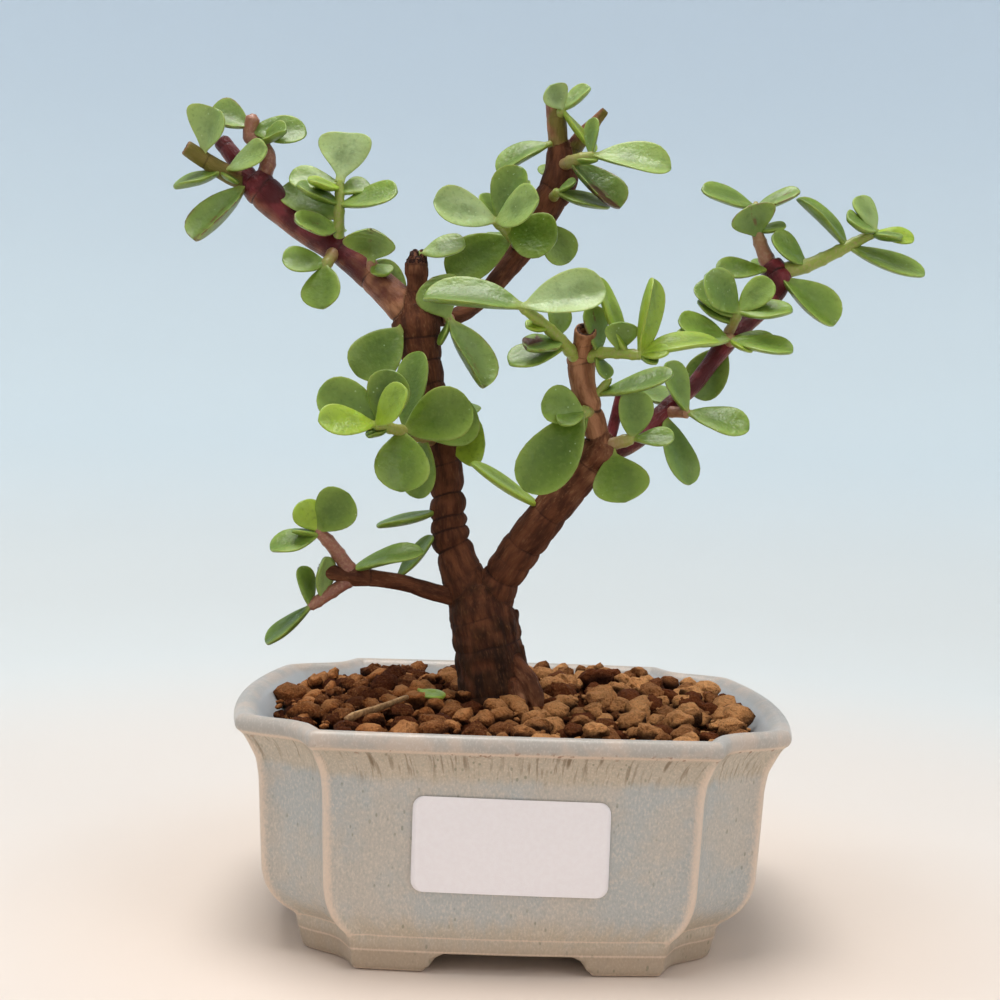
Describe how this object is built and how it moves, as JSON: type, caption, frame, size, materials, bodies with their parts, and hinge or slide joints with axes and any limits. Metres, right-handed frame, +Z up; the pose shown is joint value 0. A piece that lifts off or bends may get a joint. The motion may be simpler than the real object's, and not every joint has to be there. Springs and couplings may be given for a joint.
{
  "type": "bonsai",
  "caption": "Dwarf jade bonsai with a forked trunk and thick oval leaves, in a low glazed pot with cut corners, splayed lip and small feet.",
  "frame": {"origin": "centre of the whole object's box, on the surface that the pot's feet stand on", "axes": "+X to the right along the pot's long side, +Y from the front with the label to the back, +Z up"},
  "size_m": [0.183, 0.1004, 0.2026],
  "materials": {
    "glaze": "satin grey-blue glaze, fine dark specks and brown streaks, tan where it thins on the ridges",
    "clay_grains": "matte baked clay grains, orange to dark brown",
    "bark": "ringed brown bark, crimson on the young branches",
    "jade_leaf": "thick waxy leaves, satin green, paler on top, on brown-red and yellow-green shoots",
    "label_paper": "blank white sticker with rounded corners",
    "drain_plastic": "black plastic mesh",
    "dry_straw": "dry pale straw"
  },
  "bodies": {
    "root": {"pot": "glaze", "pot_foot_front_left": "glaze", "pot_foot_back_left": "glaze", "pot_foot_front_right": "glaze", "pot_foot_back_right": "glaze", "soil": "clay_grains", "wood": "bark", "label": "label_paper", "drain_screen_left": "drain_plastic", "drain_screen_right": "drain_plastic", "straw": "dry_straw", "fallen_leaf": "jade_leaf", "shoot_left_tip_up": "jade_leaf", "shoot_upper_left": "jade_leaf", "shoot_upper_left_short": "jade_leaf", "shoot_left_branch_low": "jade_leaf", "shoot_front": "jade_leaf", "shoot_middle_low": "jade_leaf", "shoot_middle_front": "jade_leaf", "shoot_middle_right": "jade_leaf", "shoot_top": "jade_leaf", "shoot_top_right": "jade_leaf", "shoot_centre_left": "jade_leaf", "shoot_centre_right": "jade_leaf", "shoot_centre_twig": "jade_leaf", "shoot_knob_left": "jade_leaf", "shoot_knob_right": "jade_leaf", "shoot_right_low": "jade_leaf", "shoot_right_node_up": "jade_leaf", "shoot_right_node_low": "jade_leaf", "shoot_right_up": "jade_leaf", "shoot_right_tip": "jade_leaf", "shoot_low_left_up": "jade_leaf", "shoot_low_left_down": "jade_leaf", "leaf_left_tip_hanging": "jade_leaf", "leaf_left_tip_lower": "jade_leaf", "leaf_left_tip_upper": "jade_leaf", "leaf_left_tip_front": "jade_leaf", "leaf_behind_torn_stub": "jade_leaf", "leaf_fork_left": "jade_leaf", "leaf_left_trunk": "jade_leaf", "leaf_torn_stub": "jade_leaf", "leaf_middle_right": "jade_leaf", "leaf_top_left": "jade_leaf", "leaf_knob_front": "jade_leaf", "leaf_right_branch": "jade_leaf", "leaf_right_node_back": "jade_leaf", "leaf_right_inner": "jade_leaf", "leaf_right_hanging": "jade_leaf", "leaf_low_left_twig": "jade_leaf", "leaf_low_left_trunk": "jade_leaf", "leaf_right_trunk": "jade_leaf", "leaves_left_branch_back": "jade_leaf", "leaves_left_trunk_back": "jade_leaf", "leaves_middle_branch_back": "jade_leaf", "leaves_top_back": "jade_leaf", "leaf_right_branch_back": "jade_leaf", "leaf_right_end_back": "jade_leaf"}
  },
  "joints": []
}
